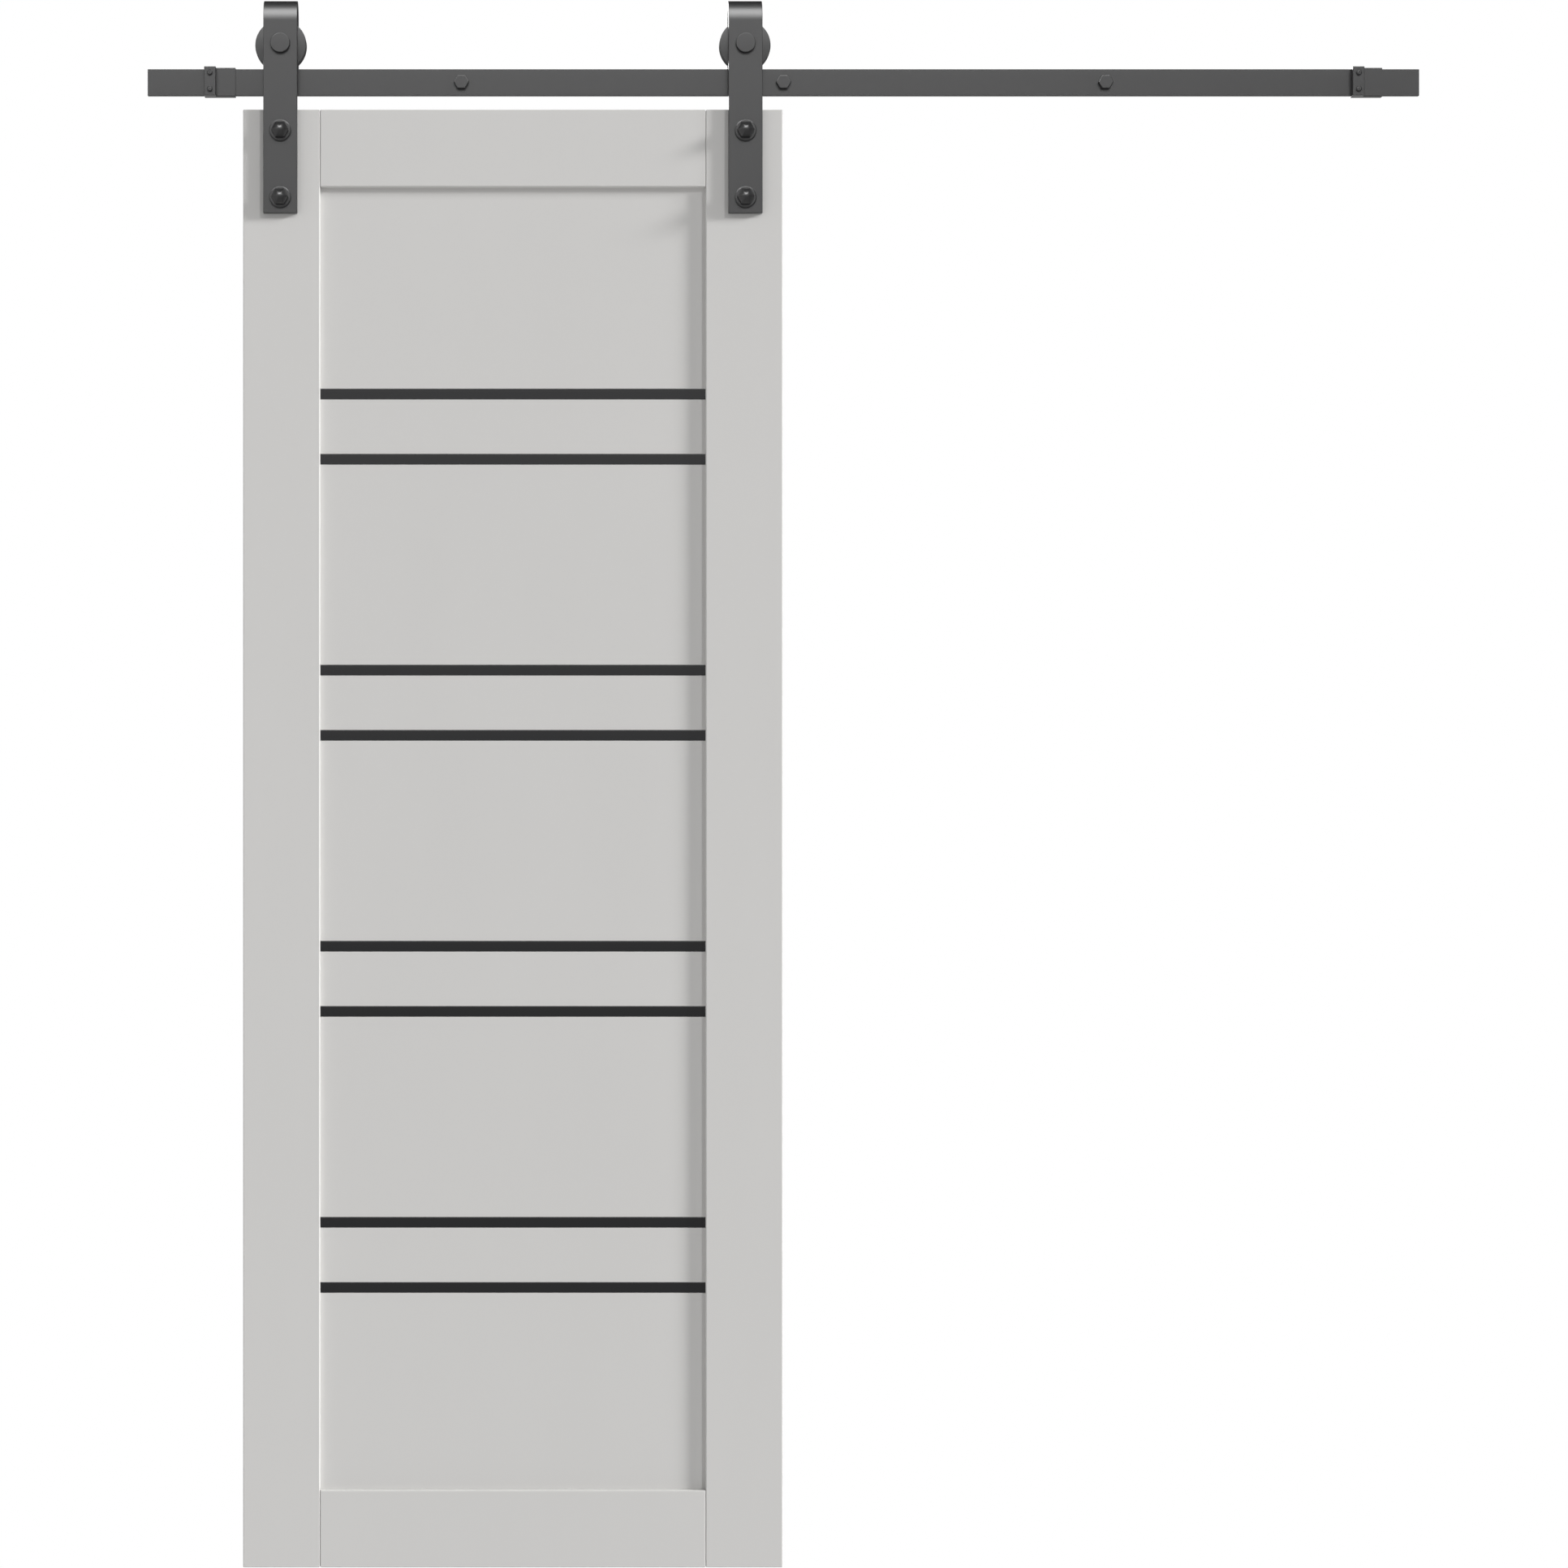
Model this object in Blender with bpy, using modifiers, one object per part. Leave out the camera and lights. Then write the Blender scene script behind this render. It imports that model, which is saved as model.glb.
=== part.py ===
"""Sliding barn door set: wall rail on spacers, two hangers with grooved wheels, end stops and leaf.

Metres, +Z up, +X along the rail to the right, -Y out into the room. The origin is where the middle
fixing bolt crosses the wall plane, level with the middle of the rail.
"""

import math

import bmesh
import bpy
from mathutils import Matrix, Vector

# Clearance kept between pieces that touch
GAP = 0.0003

# Rail and its three fixings
RAIL_LENGTH = 1.864
RAIL_HEIGHT = 0.039
RAIL_THICKNESS = 0.006
FIXING_PITCH = 0.472
SPACER_LENGTH = 0.035
SPACER_RADIUS = 0.010
FIXING_RADIUS = 0.006
FIXING_HEAD_FLATS = 0.019
FIXING_HEAD_HEIGHT = 0.005
FIXING_LENGTH_IN_WALL = 0.050
FIXING_POINT_LENGTH = 0.012
FIXING_POINT_RADIUS = 0.001
RAIL_EDGE = 0.0006

# End stops: a sheet sleeve round the rail and a buffer block screwed on its front
STOP_LENGTH = 0.045
STOP_SHEET = 0.0015
STOP_HEIGHT = RAIL_HEIGHT + 2 * (GAP + STOP_SHEET)
STOP_SLEEVE_EDGE = 0.0005
STOP_BLOCK_EDGE = 0.0006
STOP_BLOCK_WIDTH = 0.017
STOP_BLOCK_THICKNESS = 0.0075
STOP_SCREW_SPACING = 0.024
STOP_SCREW_RADIUS = 0.002
STOP_SCREW_HEAD_RADIUS = 0.004
STOP_SCREW_HEAD_HEIGHT = 0.0022
STOP_SCREW_SOCKET_RADIUS = 0.0016
STOP_SCREW_CUT = 0.010
STOP_LEFT_X = -0.8482
STOP_RIGHT_X = 0.8321

# Hangers, measured from the axle
HANGER_SPACING = 0.680
AXLE_HEIGHT = 0.0538
AXLE_RADIUS = 0.005
AXLE_HEAD_RADIUS = 0.0144
AXLE_HEAD_HEIGHT = 0.0045
AXLE_EDGE = 0.0008
AXLE_BEYOND_YOKE = 0.0095
AXLE_NUT_FLATS = 0.017
AXLE_NUT_HEIGHT = 0.008
STRAP_WIDTH = 0.0495
STRAP_THICKNESS = 0.008
STRAP_EDGE = 0.0005
YOKE_GAP = 0.018
YOKE_TOP = 0.0657
YOKE_BEND_HEIGHT = 0.032
YOKE_REAR_LENGTH = 0.033
STRAP_BELOW_DOOR_TOP = 0.1528

# Wheels
WHEEL_RADIUS = 0.0375
TREAD_RADIUS = 0.034
WHEEL_WIDTH = 0.0155
WHEEL_EDGE = 0.0015
GROOVE_WIDTH = 0.0072
GROOVE_SLOPE = 0.0009
BEARING_RADIUS = 0.015
BEARING_WIDTH = 0.012
SLEEVE_RADIUS = 0.007

# Door leaf
DOOR_X = -0.3965
DOOR_WIDTH = 0.790
DOOR_HEIGHT = 2.134
DOOR_THICKNESS = 0.040
DOOR_TOP = -0.0412
FRAME_WIDTH = 0.1125
EDGE_CHAMFER = 0.001
PANEL_THICKNESS = 0.022
PANEL_GROOVE_DEPTH = 0.010
STRIP_HEIGHT = 0.0151
STRIP_THICKNESS = 0.021
STRIP_EDGE = 0.0004
STRIP_PAIRS = 4
PAIR_PITCH = 0.405
PAIR_SEPARATION = 0.0956
PATTERN_DROP = 0.0035

# Bolts that hold the straps to the leaf
DOOR_BOLT_RADIUS = 0.005
DOOR_BOLT_HEX_RADIUS = 0.0126
DOOR_BOLT_BASE_HEIGHT = 0.005
DOOR_BOLT_TIERS = ((0.0108, 0.0072), (0.0070, 0.0101), (0.0028, 0.0125))  # corner radius and height
DOOR_BOLT_DROPS = (0.0324, 0.1299)
DOOR_BOLT_SHORT_OF_BACK = 0.0045
WASHER_RADIUS = 0.0159
WASHER_THICKNESS = 0.0025
SLEEVE_NUT_RADIUS = 0.0065
SLEEVE_NUT_LENGTH = 0.025
SLEEVE_NUT_HEAD_RADIUS = 0.011
SLEEVE_NUT_HEAD_HEIGHT = 0.0027
SLEEVE_NUT_FLOOR = 0.002
SLEEVE_NUT_EDGE = 0.0006

# Distances out from the wall that follow from the sizes above
RAIL_BACK = SPACER_LENGTH
RAIL_FRONT = RAIL_BACK + RAIL_THICKNESS
WHEEL_PLANE = (RAIL_BACK + RAIL_FRONT) / 2
STRAP_BACK = WHEEL_PLANE + YOKE_GAP / 2
STRAP_FRONT = STRAP_BACK + STRAP_THICKNESS
YOKE_REAR = WHEEL_PLANE - YOKE_GAP / 2 - STRAP_THICKNESS
DOOR_FRONT = STRAP_BACK - GAP
DOOR_BACK = DOOR_FRONT - DOOR_THICKNESS

# A turned piece is drawn standing on +Z, then laid so that +Z points out into the room
OUTWARDS = (math.pi / 2, 0.0, 0.0)

# How far a shank runs into its head before the two are joined
ROOT = 0.001

# Faces that meet at a wider angle than this keep a sharp edge between them
SHARP_ANGLE = math.radians(35)

# A six-sided piece is turned by this about its axis, so that two corners point along X
HEX_TURN = math.radians(30)


def clear_scene():
    for obj in list(bpy.data.objects):
        bpy.data.objects.remove(obj)
    for group in list(bpy.data.collections):
        bpy.data.collections.remove(group)


def new_collection(name, hidden=False):
    group = bpy.data.collections.new(name)
    group.hide_render = hidden
    bpy.context.scene.collection.children.link(group)
    return group


def new_material(name, colour, roughness, metallic):
    material = bpy.data.materials.new(name)
    material.use_nodes = True
    shader = material.node_tree.nodes["Principled BSDF"]
    shader.inputs["Base Color"].default_value = (*colour, 1.0)
    shader.inputs["Roughness"].default_value = roughness
    shader.inputs["Metallic"].default_value = metallic
    return material


def out_from_wall(x, out, z):
    """A point given by its distance out from the wall."""
    return Vector((x, -out, z))


# Meshes


def helper_object(name, mesh):
    """A mesh's temporary object, drawn as wire and left out of renders."""
    obj = bpy.data.objects.new(name, mesh)
    obj.hide_render = True
    obj.display_type = "WIRE"
    CUTTERS.objects.link(obj)
    return obj


def finished_mesh(obj, *tools):
    """The object's mesh with its modifiers applied. The object and the tools it used are removed."""
    bpy.context.view_layer.update()
    graph = bpy.context.evaluated_depsgraph_get()
    mesh = bpy.data.meshes.new_from_object(obj.evaluated_get(graph))
    mesh.name = obj.name
    for helper in (obj, *tools):
        bpy.data.objects.remove(helper)
    return mesh


def combined(mesh, joined=(), cut=()):
    """One closed mesh: the first with some meshes joined to it and others cut away."""
    base = helper_object(mesh.name, mesh)
    tools = []
    for operation, shapes in (("UNION", joined), ("DIFFERENCE", cut)):
        for shape in shapes:
            tool = helper_object("tool", shape)
            boolean = base.modifiers.new(operation.title(), "BOOLEAN")
            boolean.operation = operation
            boolean.object = tool
            tools.append(tool)
    return finished_mesh(base, *tools)


def box(name, size, centre=(0.0, 0.0, 0.0)):
    mesh = bpy.data.meshes.new(name)
    shape = bmesh.new()
    placed = Matrix.Translation(centre) @ Matrix.Diagonal((*size, 1.0))
    bmesh.ops.create_cube(shape, size=1.0, matrix=placed)
    shape.to_mesh(mesh)
    shape.free()
    return mesh


def bevelled(mesh, width, angle=math.radians(30)):
    """The mesh with a chamfer on each edge that is sharper than the angle."""
    obj = helper_object(mesh.name, mesh)
    bevel = obj.modifiers.new("Bevel", "BEVEL")
    bevel.width = width
    bevel.segments = 1
    bevel.limit_method = "ANGLE"
    bevel.angle_limit = angle
    return finished_mesh(obj)


def round_bar(name, radius, low, high, sides=24, top_radius=None, turn=0.0):
    """A cylinder, cone or prism on the Z axis between two heights."""
    mesh = bpy.data.meshes.new(name)
    shape = bmesh.new()
    bmesh.ops.create_cone(
        shape,
        cap_ends=True,
        segments=sides,
        radius1=radius,
        radius2=radius if top_radius is None else top_radius,
        depth=high - low,
        matrix=Matrix.Translation((0, 0, (low + high) / 2)) @ Matrix.Rotation(turn, 4, "Z"),
    )
    shape.to_mesh(mesh)
    shape.free()
    return mesh


def moved(mesh, offset=(0, 0, 0), rotation=None):
    if rotation is not None:
        mesh.transform(rotation)
    mesh.transform(Matrix.Translation(offset))
    return mesh


def hole_along_y(radius, x, z, depth=0.2):
    """A round cutter that points out from the wall and reaches the depth both ways."""
    lying = Matrix.Rotation(math.pi / 2, 4, "X")
    return moved(round_bar("hole", radius, -depth, depth), (x, 0, z), lying)


def turned(name, profile, ring=False, steps=32):
    """A turned piece. Its profile of (radius, height) points runs down the outer side."""
    mesh = bpy.data.meshes.new(name)
    count = len(profile)
    edges = [(i, i + 1) for i in range(count - 1)]
    if ring:
        edges.append((count - 1, 0))
    mesh.from_pydata([(radius, 0.0, height) for radius, height in profile], edges, [])
    obj = helper_object(name, mesh)
    screw = obj.modifiers.new("Screw", "SCREW")
    screw.axis = "Z"
    screw.angle = math.tau
    screw.steps = screw.render_steps = steps
    screw.use_merge_vertices = True
    screw.merge_threshold = 0.00001
    return finished_mesh(obj)


def tube(name, outer, inner, low, high, steps=24):
    section = [(outer, high), (outer, low), (inner, low), (inner, high)]
    return turned(name, section, ring=True, steps=steps)


def hexagon_bar(name, flats, low, high):
    """A six-sided bar whose corners point along X, with the tops of its corners turned off."""
    corner = flats / math.sqrt(3)
    chamfer = (corner - flats / 2) / 2
    outline = [(0, high), (flats / 2, high), (corner, high - chamfer), (corner, low), (0, low)]
    obj = helper_object(name, round_bar(name, corner, low, high, sides=6, turn=HEX_TURN))
    tool = helper_object("tool", turned("turned_off", outline))
    boolean = obj.modifiers.new("Chamfer", "BOOLEAN")
    boolean.operation = "INTERSECT"
    boolean.object = tool
    return finished_mesh(obj, tool)


def place(name, mesh, material, location, parent=None, rotation=(0.0, 0.0, 0.0)):
    """One named piece of the set. Its round faces are shaded smooth, and its edges stay sharp."""
    mesh.shade_smooth()
    mesh.set_sharp_from_angle(angle=SHARP_ANGLE)
    if not mesh.materials:
        mesh.materials.append(material)
    obj = bpy.data.objects.new(name, mesh)
    obj.location = location
    obj.rotation_euler = rotation
    obj.parent = parent
    PARTS.objects.link(obj)
    return obj


def axis_empty(name, location, parent=None):
    """An empty on a joint's axis."""
    empty = bpy.data.objects.new(name, None)
    empty.empty_display_size = 0.05
    empty.location = location
    empty.parent = parent
    PARTS.objects.link(empty)
    return empty


# Rail, spacers and fixing bolts


def rail_mesh():
    bar = bevelled(box("rail", (RAIL_LENGTH, RAIL_THICKNESS, RAIL_HEIGHT)), RAIL_EDGE)
    holes = [hole_along_y(FIXING_RADIUS + GAP, x, 0) for x in fixing_places()]
    return combined(bar, cut=holes)


def fixing_places():
    return (-FIXING_PITCH, 0.0, FIXING_PITCH)


def fixing_bolt_mesh():
    """A hexagon coach bolt: drawn with the underside of its head at height 0."""
    head = hexagon_bar("fixing_bolt", FIXING_HEAD_FLATS, 0.0, FIXING_HEAD_HEIGHT)
    tip = -(RAIL_FRONT + GAP + FIXING_LENGTH_IN_WALL)
    shank = [
        (0, ROOT),
        (FIXING_RADIUS, ROOT),
        (FIXING_RADIUS, tip + FIXING_POINT_LENGTH),
        (FIXING_POINT_RADIUS, tip),
        (0, tip),
    ]
    return combined(head, joined=[turned("shank", shank, steps=24)])


def build_rail():
    place("rail", rail_mesh(), STEEL, out_from_wall(0, WHEEL_PLANE, 0))
    spacer = tube("rail_spacer", SPACER_RADIUS, FIXING_RADIUS + GAP, 0.0, RAIL_BACK - GAP)
    bolt = fixing_bolt_mesh()
    for side, x in zip(("left", "middle", "right"), fixing_places()):
        place(f"rail_spacer_{side}", spacer, STEEL, out_from_wall(x, 0, 0), rotation=OUTWARDS)
        place(f"rail_bolt_{side}", bolt, STEEL, out_from_wall(x, RAIL_FRONT + GAP, 0), rotation=OUTWARDS)


# End stops


def stop_sleeve_mesh():
    """A sheet sleeve that fits the rail, drawn about the rail's centre line."""
    depth = RAIL_THICKNESS + 2 * (GAP + STOP_SHEET)
    outer = bevelled(box("stop_sleeve", (STOP_LENGTH, depth, STOP_HEIGHT)), STOP_SLEEVE_EDGE)
    inner = box("inner", (2 * STOP_LENGTH, RAIL_THICKNESS + 2 * GAP, RAIL_HEIGHT + 2 * GAP))
    holes = [moved(stop_screw_hole(sign), (0, -STOP_SCREW_CUT, 0)) for sign in (-1, 1)]
    return combined(outer, cut=[inner, *holes])


def stop_block_centre():
    """The x of the block's middle, measured from the sleeve's middle."""
    return -(STOP_LENGTH - STOP_BLOCK_WIDTH) / 2


def stop_screw_hole(sign):
    """A cutter for one screw, centred across the piece that it goes through."""
    z = sign * STOP_SCREW_SPACING / 2
    return hole_along_y(STOP_SCREW_RADIUS + GAP, stop_block_centre(), z, depth=STOP_SCREW_CUT)


def stop_block_mesh():
    size = (STOP_BLOCK_WIDTH, STOP_BLOCK_THICKNESS, STOP_HEIGHT)
    block = box("stop_block", size, centre=(stop_block_centre(), 0, 0))
    holes = [stop_screw_hole(sign) for sign in (-1, 1)]
    return combined(bevelled(block, STOP_BLOCK_EDGE), cut=holes)


def stop_screw_mesh(length):
    """A button-head socket screw, drawn with the underside of its head at height 0."""
    crown, rim = STOP_SCREW_HEAD_HEIGHT, STOP_SCREW_HEAD_RADIUS
    profile = [
        (0, crown),
        (0.55 * rim, crown),
        (0.85 * rim, 0.72 * crown),
        (rim, 0.25 * crown),
        (rim, 0),
        (STOP_SCREW_RADIUS, 0),
        (STOP_SCREW_RADIUS, -length),
        (0, -length),
    ]
    socket = round_bar("socket", STOP_SCREW_SOCKET_RADIUS, 0.4 * crown, 2 * crown, sides=6)
    return combined(turned("stop_screw", profile, steps=20), cut=[socket])


def build_stops():
    sleeve = stop_sleeve_mesh()
    block = stop_block_mesh()
    sleeve_front = RAIL_FRONT + GAP + STOP_SHEET
    block_back = sleeve_front + GAP
    screw_seat = block_back + STOP_BLOCK_THICKNESS + GAP
    screw = stop_screw_mesh(screw_seat - RAIL_FRONT - GAP)
    for side, left_edge in (("left", STOP_LEFT_X), ("right", STOP_RIGHT_X)):
        x = left_edge + STOP_LENGTH / 2
        place(f"stop_sleeve_{side}", sleeve, STEEL, out_from_wall(x, WHEEL_PLANE, 0))
        block_middle = block_back + STOP_BLOCK_THICKNESS / 2
        place(f"stop_block_{side}", block, STEEL, out_from_wall(x, block_middle, 0))
        for level, sign in (("upper", 1), ("lower", -1)):
            seat = out_from_wall(x + stop_block_centre(), screw_seat, sign * STOP_SCREW_SPACING / 2)
            place(f"stop_screw_{side}_{level}", screw, STEEL, seat, rotation=OUTWARDS)


# Hangers


def yoke_centre_line(segments=16):
    """The strap's side view as (y, z) points about the axle: up the front, over the wheel, down behind it."""
    half = (YOKE_GAP + STRAP_THICKNESS) / 2
    rise = YOKE_BEND_HEIGHT - STRAP_THICKNESS / 2
    spring = YOKE_TOP - YOKE_BEND_HEIGHT
    foot = DOOR_TOP - STRAP_BELOW_DOOR_TOP - AXLE_HEIGHT
    angles = [math.pi * i / segments for i in range(segments + 1)]
    bend = [(-half * math.cos(angle), spring + rise * math.sin(angle)) for angle in angles]
    return [(-half, foot), *bend, (half, -YOKE_REAR_LENGTH)]


def strap_mesh():
    """A flat bar bent over the wheel, drawn about the axle."""
    mesh = bpy.data.meshes.new("strap")
    shape = bmesh.new()
    line = [shape.verts.new((-STRAP_WIDTH / 2, y, z)) for y, z in yoke_centre_line()]
    edges = [shape.edges.new(pair) for pair in zip(line, line[1:])]
    extruded = bmesh.ops.extrude_edge_only(shape, edges=edges)["geom"]
    far_side = [item for item in extruded if isinstance(item, bmesh.types.BMVert)]
    bmesh.ops.translate(shape, verts=far_side, vec=(STRAP_WIDTH, 0, 0))
    bmesh.ops.recalc_face_normals(shape, faces=shape.faces)
    shape.to_mesh(mesh)
    shape.free()
    obj = helper_object("strap", mesh)
    solidify = obj.modifiers.new("Solidify", "SOLIDIFY")
    solidify.thickness = STRAP_THICKNESS
    solidify.offset = 0.0
    solidify.use_even_offset = True
    bar = bevelled(finished_mesh(obj), STRAP_EDGE, angle=math.radians(60))
    holes = [hole_along_y(AXLE_RADIUS + GAP, 0, 0)]
    for drop in DOOR_BOLT_DROPS:
        holes.append(hole_along_y(DOOR_BOLT_RADIUS + GAP, 0, DOOR_TOP - drop - AXLE_HEIGHT))
    return combined(bar, cut=holes)


def axle_bolt_mesh():
    """The axle: a plain round head and a shank through both legs of the yoke, head underside at height 0."""
    tip = -(STRAP_FRONT - YOKE_REAR + AXLE_BEYOND_YOKE)
    profile = [
        (0, AXLE_HEAD_HEIGHT),
        (AXLE_HEAD_RADIUS - AXLE_EDGE, AXLE_HEAD_HEIGHT),
        (AXLE_HEAD_RADIUS, AXLE_HEAD_HEIGHT - AXLE_EDGE),
        (AXLE_HEAD_RADIUS, 0),
        (AXLE_RADIUS, 0),
        (AXLE_RADIUS, tip + AXLE_EDGE),
        (AXLE_RADIUS - AXLE_EDGE, tip),
        (0, tip),
    ]
    return turned("axle_bolt", profile)


def axle_nut_mesh():
    nut = hexagon_bar("axle_nut", AXLE_NUT_FLATS, 0.0, AXLE_NUT_HEIGHT)
    bore = round_bar("bore", AXLE_RADIUS + GAP, -AXLE_NUT_HEIGHT, 2 * AXLE_NUT_HEIGHT)
    return combined(nut, cut=[bore])


def wheel_mesh():
    """A wheel with a flange each side of a groove that sits on the rail, drawn about its middle."""
    half = WHEEL_WIDTH / 2
    groove = GROOVE_WIDTH / 2
    rim = [
        (WHEEL_RADIUS - WHEEL_EDGE, half),
        (WHEEL_RADIUS, half - WHEEL_EDGE),
        (WHEEL_RADIUS, groove + GROOVE_SLOPE),
        (TREAD_RADIUS, groove),
    ]
    mirrored = [(radius, -height) for radius, height in reversed(rim)]
    web = [(BEARING_RADIUS, -half), (BEARING_RADIUS, half)]
    return turned("wheel", [*rim, *mirrored, *web], ring=True, steps=40)


def build_hanger(side, x, door):
    axle = axis_empty(f"{side}_axle", out_from_wall(x, WHEEL_PLANE, AXLE_HEIGHT), door)
    yoke_face = YOKE_GAP / 2 + STRAP_THICKNESS + GAP
    place(f"strap_{side}", MESHES["strap"], STEEL, (0, 0, 0), axle)
    place(f"axle_bolt_{side}", MESHES["axle_bolt"], STEEL, (0, -yoke_face, 0), axle, OUTWARDS)
    nut_back = (0, yoke_face + AXLE_NUT_HEIGHT, 0)
    place(f"axle_nut_{side}", MESHES["axle_nut"], ZINC, nut_back, axle, OUTWARDS)
    place(f"axle_sleeve_{side}", MESHES["axle_sleeve"], ZINC, (0, 0, 0), axle, OUTWARDS)
    place(f"wheel_{side}", MESHES["wheel"], STEEL, (0, 0, 0), axle, OUTWARDS)
    place(f"wheel_bearing_{side}", MESHES["bearing"], ZINC, (0, 0, 0), axle, OUTWARDS)


# Bolts through the door


def door_bolt_mesh():
    """A decorative bolt: six sides drawn in to a small flat tip, head underside at height 0."""
    profile = [(DOOR_BOLT_HEX_RADIUS, DOOR_BOLT_BASE_HEIGHT), (DOOR_BOLT_HEX_RADIUS, 0.0), (0.0, 0.0)]
    for radius, height in DOOR_BOLT_TIERS:
        profile.insert(0, (radius, height))
    profile.insert(0, (0.0, profile[0][1]))
    head = turned("door_bolt", profile, steps=6)
    seat = STRAP_FRONT + 2 * GAP + WASHER_THICKNESS
    tip = DOOR_BACK + DOOR_BOLT_SHORT_OF_BACK - seat
    return combined(head, joined=[round_bar("shank", DOOR_BOLT_RADIUS, tip, ROOT, sides=20)])


def sleeve_nut_mesh():
    """A blind nut put in from the back of the door: its head's front face is at height 0."""
    bore = DOOR_BOLT_RADIUS + GAP
    profile = [
        (SLEEVE_NUT_RADIUS, SLEEVE_NUT_LENGTH),
        (SLEEVE_NUT_RADIUS, 0),
        (SLEEVE_NUT_HEAD_RADIUS, 0),
        (SLEEVE_NUT_HEAD_RADIUS, SLEEVE_NUT_EDGE - SLEEVE_NUT_HEAD_HEIGHT),
        (SLEEVE_NUT_HEAD_RADIUS - SLEEVE_NUT_EDGE, -SLEEVE_NUT_HEAD_HEIGHT),
        (0, -SLEEVE_NUT_HEAD_HEIGHT),
        (0, SLEEVE_NUT_FLOOR),
        (bore, SLEEVE_NUT_FLOOR),
        (bore, SLEEVE_NUT_LENGTH),
    ]
    return turned("sleeve_nut", profile, ring=True, steps=24)


def build_door_bolts(side, x, door):
    washer_seat = STRAP_FRONT + GAP
    seats = {
        "washer": washer_seat,
        "door_bolt": washer_seat + WASHER_THICKNESS + GAP,
        "sleeve_nut": DOOR_BACK - GAP,
    }
    for level, drop in zip(("upper", "lower"), DOOR_BOLT_DROPS):
        for piece, seat in seats.items():
            where = out_from_wall(x, seat, DOOR_TOP - drop)
            place(f"{piece}_{side}_{level}", MESHES[piece], STEEL, where, door, OUTWARDS)


# Door leaf


def groove_cutter(length, along_x):
    """A cutter for the groove that holds the panel, centred on a frame member's inner edge."""
    across = 2 * PANEL_GROOVE_DEPTH
    thickness = PANEL_THICKNESS + 2 * GAP
    size = (length, thickness, across) if along_x else (across, thickness, length)
    return box("groove", size)


def stile_mesh(side):
    """An upright of the leaf, drawn about its middle. The side is -1 for left and 1 for right."""
    post = bevelled(box("stile", (FRAME_WIDTH, DOOR_THICKNESS, DOOR_HEIGHT)), EDGE_CHAMFER)
    groove = moved(groove_cutter(2 * DOOR_HEIGHT, along_x=False), (-side * FRAME_WIDTH / 2, 0, 0))
    strap_x = side * HANGER_SPACING / 2 - stile_x(side)
    heights = [DOOR_HEIGHT / 2 - drop for drop in DOOR_BOLT_DROPS]
    holes = [hole_along_y(SLEEVE_NUT_RADIUS + GAP, strap_x, z) for z in heights]
    return combined(post, cut=[groove, *holes])


def stile_x(side):
    """The x of a stile's middle, measured from the leaf's middle."""
    return side * (DOOR_WIDTH - FRAME_WIDTH) / 2


def cross_rail_mesh(side):
    """A cross member of the leaf with a tongue at each end. The side is 1 for top and -1 for bottom."""
    opening = DOOR_WIDTH - 2 * FRAME_WIDTH
    bar = bevelled(box("cross_rail", (opening - 2 * GAP, DOOR_THICKNESS, FRAME_WIDTH)), EDGE_CHAMFER)
    tongue_length = opening + 2 * (PANEL_GROOVE_DEPTH - GAP)
    tongue = box("tongue", (tongue_length, PANEL_THICKNESS, FRAME_WIDTH - 2 * EDGE_CHAMFER))
    groove = moved(groove_cutter(2 * opening, along_x=True), (0, 0, -side * FRAME_WIDTH / 2))
    return combined(bar, joined=[tongue], cut=[groove])


def strip_centres():
    """Heights of the inlay strips about the rail's centre, from the top down."""
    middle = DOOR_TOP - DOOR_HEIGHT / 2 - PATTERN_DROP
    heights = []
    for pair in range(STRIP_PAIRS):
        pair_middle = middle + ((STRIP_PAIRS - 1) / 2 - pair) * PAIR_PITCH
        heights += [pair_middle + PAIR_SEPARATION / 2, pair_middle - PAIR_SEPARATION / 2]
    return heights


def panel_spans():
    """(bottom, top) of each panel board, from the top down: they fill the frame between the strips."""
    reach = PANEL_GROOVE_DEPTH - GAP
    highest = DOOR_TOP - FRAME_WIDTH + reach
    lowest = DOOR_TOP - DOOR_HEIGHT + FRAME_WIDTH - reach
    half = STRIP_HEIGHT / 2 + GAP
    tops = [highest, *(centre - half for centre in strip_centres())]
    bottoms = [*(centre + half for centre in strip_centres()), lowest]
    return list(zip(bottoms, tops))


def build_leaf(door):
    middle_z = DOOR_TOP - DOOR_HEIGHT / 2
    middle_out = (DOOR_FRONT + DOOR_BACK) / 2
    for name, side in (("left", -1), ("right", 1)):
        where = out_from_wall(stile_x(side), middle_out, middle_z)
        place(f"stile_{name}", stile_mesh(side), DOOR_WHITE, where, door)
    for name, side in (("top", 1), ("bottom", -1)):
        where = out_from_wall(0, middle_out, middle_z + side * (DOOR_HEIGHT - FRAME_WIDTH) / 2)
        place(f"cross_rail_{name}", cross_rail_mesh(side), DOOR_WHITE, where, door)
    width = DOOR_WIDTH - 2 * FRAME_WIDTH + 2 * (PANEL_GROOVE_DEPTH - GAP)
    for number, (bottom, top) in enumerate(panel_spans(), start=1):
        board = box("panel_board", (width, PANEL_THICKNESS, top - bottom))
        where = out_from_wall(0, middle_out, (bottom + top) / 2)
        place(f"panel_board_{number}", board, DOOR_WHITE, where, door)
    strip = bevelled(box("inlay_strip", (width, STRIP_THICKNESS, STRIP_HEIGHT)), STRIP_EDGE)
    for number, z in enumerate(strip_centres(), start=1):
        where = out_from_wall(0, middle_out, z)
        place(f"inlay_strip_{number}", strip, BLACK_GLASS, where, door)


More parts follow.
